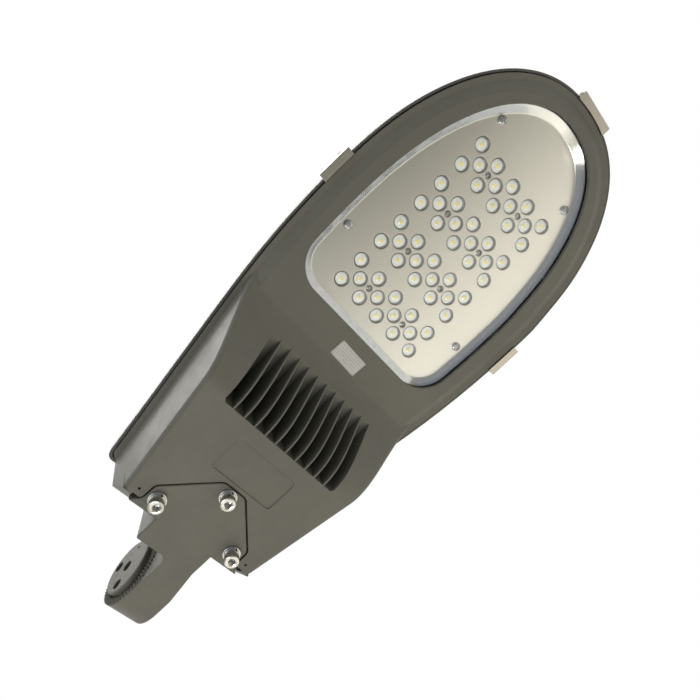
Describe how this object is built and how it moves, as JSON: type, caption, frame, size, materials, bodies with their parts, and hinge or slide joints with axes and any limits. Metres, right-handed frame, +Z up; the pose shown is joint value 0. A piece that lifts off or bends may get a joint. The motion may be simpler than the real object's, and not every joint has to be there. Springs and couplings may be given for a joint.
{
  "type": "street lamp head",
  "caption": "LED street lamp head: cast housing with cooling fins, glass window over staggered lenses on a bright panel, hinged cover with toggle clips, and a serrated knuckle arm.",
  "frame": {"origin": "pivot axis of the serrated knuckle, in the plane of its tooth crests", "axes": "+X runs from the knuckle to the lamp's tip, +Z is up with the light shining down, and the knuckle's pivot axis is along Y"},
  "size_m": [0.6351, 0.2632, 0.1262],
  "materials": {
    "grey_powder_coat": "fine powder coat, warm grey, on cast aluminium",
    "stainless_steel": "satin stainless",
    "zinc_screws": "zinc plated",
    "clear_glass": "clear tempered",
    "silicone_rubber": "matt black silicone",
    "bright_aluminium": "bright anodised sheet",
    "cast_aluminium": "as extruded and milled",
    "white_board": "white solder mask",
    "led_phosphor": "yellow phosphor",
    "clear_lens": "moulded clear acrylic",
    "driver_case": "natural anodised",
    "black_nylon": "black nylon",
    "grey_plastic": "light grey nylon",
    "terminal_brass": "plated brass",
    "surge_case": "blue flame-retardant plastic",
    "label_film": "blank silver film"
  },
  "bodies": {
    "housing": {"arm_bolts": "stainless_steel", "arm_flat_washers": "stainless_steel", "arm_spring_washers": "stainless_steel", "board_screws": "zinc_screws", "cable_gland": "black_nylon", "cover_gasket": "silicone_rubber", "driver_screws": "zinc_screws", "earth_screw": "zinc_screws", "gland_locknut": "black_nylon", "gland_seal": "silicone_rubber", "glass_clip_screws": "zinc_screws", "glass_clips": "cast_aluminium", "glass_gasket": "silicone_rubber", "heat_sink": "cast_aluminium", "heat_sink_screws": "zinc_screws", "hinge_circlips": "stainless_steel", "hinge_pin": "stainless_steel", "led_board_1": "white_board", "led_board_2": "white_board", "led_board_3": "white_board", "led_board_4": "white_board", "led_chips_1": "led_phosphor", "led_chips_2": "led_phosphor", "led_chips_3": "led_phosphor", "led_chips_4": "led_phosphor", "led_driver": "driver_case", "lens_set_1": "clear_lens", "lens_set_2": "clear_lens", "lens_set_3": "clear_lens", "lens_set_4": "clear_lens", "lower_housing": "grey_powder_coat", "mounting_arm": "grey_powder_coat", "panel_screws": "zinc_screws", "rating_label": "label_film", "reflector_panel": "bright_aluminium", "surge_protector": "surge_case", "terminal_block": "grey_plastic", "terminal_screws": "terminal_brass", "window_glass": "clear_glass"},
    "cover": {"cover": "grey_powder_coat", "clip_pin_left": "stainless_steel", "clip_pin_right": "stainless_steel", "clip_pin_tip": "stainless_steel"},
    "clip_left": {"toggle_clip_left": "stainless_steel"},
    "clip_right": {"toggle_clip_right": "stainless_steel"},
    "clip_tip": {"toggle_clip_tip": "stainless_steel"}
  },
  "joints": [
    {"name": "cover_hinge", "type": "hinge", "parent": "housing", "child": "cover", "pos_m": [0.046, 0, 0.041], "axis": [0, -1, 0], "range_deg": [0, 80]},
    {"name": "clip_left_pivot", "type": "hinge", "parent": "cover", "child": "clip_left", "pos_m": [0.389, 0.12857, 0.05], "axis": [1, 0, 0], "range_deg": [0, 100]},
    {"name": "clip_right_pivot", "type": "hinge", "parent": "cover", "child": "clip_right", "pos_m": [0.389, -0.12857, 0.05], "axis": [-1, 0, 0], "range_deg": [0, 100]},
    {"name": "clip_tip_pivot", "type": "hinge", "parent": "cover", "child": "clip_tip", "pos_m": [0.5976, 0, 0.05], "axis": [0, -1, 0], "range_deg": [0, 100]}
  ]
}
